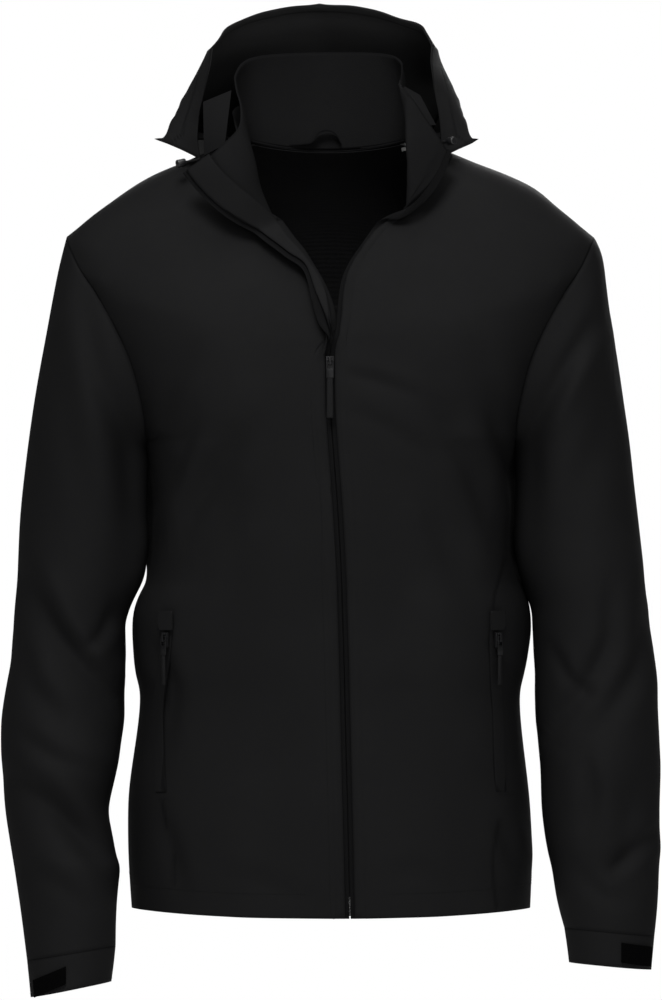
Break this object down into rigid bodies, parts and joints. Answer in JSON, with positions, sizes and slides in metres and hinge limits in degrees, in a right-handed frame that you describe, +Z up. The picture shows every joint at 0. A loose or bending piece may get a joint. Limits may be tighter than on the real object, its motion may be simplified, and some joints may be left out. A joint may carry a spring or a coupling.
{
  "type": "hooded softshell jacket",
  "caption": "Hooded softshell jacket with a stand-up collar, full front zip open at the neck, zipped side pockets and adjustable cuffs, hollow, in the pose of a garment that is worn.",
  "frame": {"origin": "middle of the neck base, level with the high shoulder points", "axes": "+Z up, the front faces -Y and the wearer's left is +X"},
  "size_m": [0.6259, 0.3231, 0.9439],
  "materials": {
    "shell": "matt bonded softshell",
    "lining": "matt mesh",
    "tape": "matt woven tape",
    "patch": "matt hook-and-loop",
    "label": "satin woven",
    "plastic": "glossy",
    "metal": "satin black"
  },
  "bodies": {
    "jacket": {"front_right": "shell", "front_left": "shell", "back": "shell", "sleeve_right": "shell", "cuff_right": "shell", "sleeve_left": "shell", "cuff_left": "shell", "collar": "shell", "zip_tape_right": "tape", "zip_tape_left": "tape", "storm_flap": "shell", "front_zip_slider": "metal", "pocket_zip_right": "tape", "pocket_garage_right": "shell", "pocket_right_slider": "metal", "pocket_zip_left": "tape", "pocket_garage_left": "shell", "pocket_left_slider": "metal", "cuff_patch_right": "patch", "cuff_patch_left": "patch", "lining_back": "lining", "hanger_loop": "tape", "neck_label": "label", "hood_side_right": "shell", "hood_side_left": "shell", "hood_crown": "shell", "hood_band": "shell", "hood_cord_right": "tape", "cord_lock_right": "plastic", "hood_cord_left": "tape", "cord_lock_left": "plastic"},
    "front_pull": {"front_zip_pull": "metal", "front_zip_cord": "plastic"},
    "pocket_right_pull": {"pocket_right_pull": "metal", "pocket_right_cord": "plastic"},
    "pocket_left_pull": {"pocket_left_pull": "metal", "pocket_left_cord": "plastic"}
  },
  "joints": [
    {"name": "front_pull_hinge", "type": "hinge", "parent": "jacket", "child": "front_pull", "pos_m": [-0.00099, -0.13002, -0.20988], "axis": [-1, 0, 0], "range_deg": [0, 140]},
    {"name": "pocket_right_pull_hinge", "type": "hinge", "parent": "jacket", "child": "pocket_right_pull", "pos_m": [-0.15852, -0.09758, -0.47107], "axis": [-0.723, 0.6898, 0.0382], "range_deg": [0, 120]},
    {"name": "pocket_left_pull_hinge", "type": "hinge", "parent": "jacket", "child": "pocket_left_pull", "pos_m": [0.1597, -0.09429, -0.47106], "axis": [-0.6962, -0.7168, -0.0396], "range_deg": [0, 120]}
  ]
}
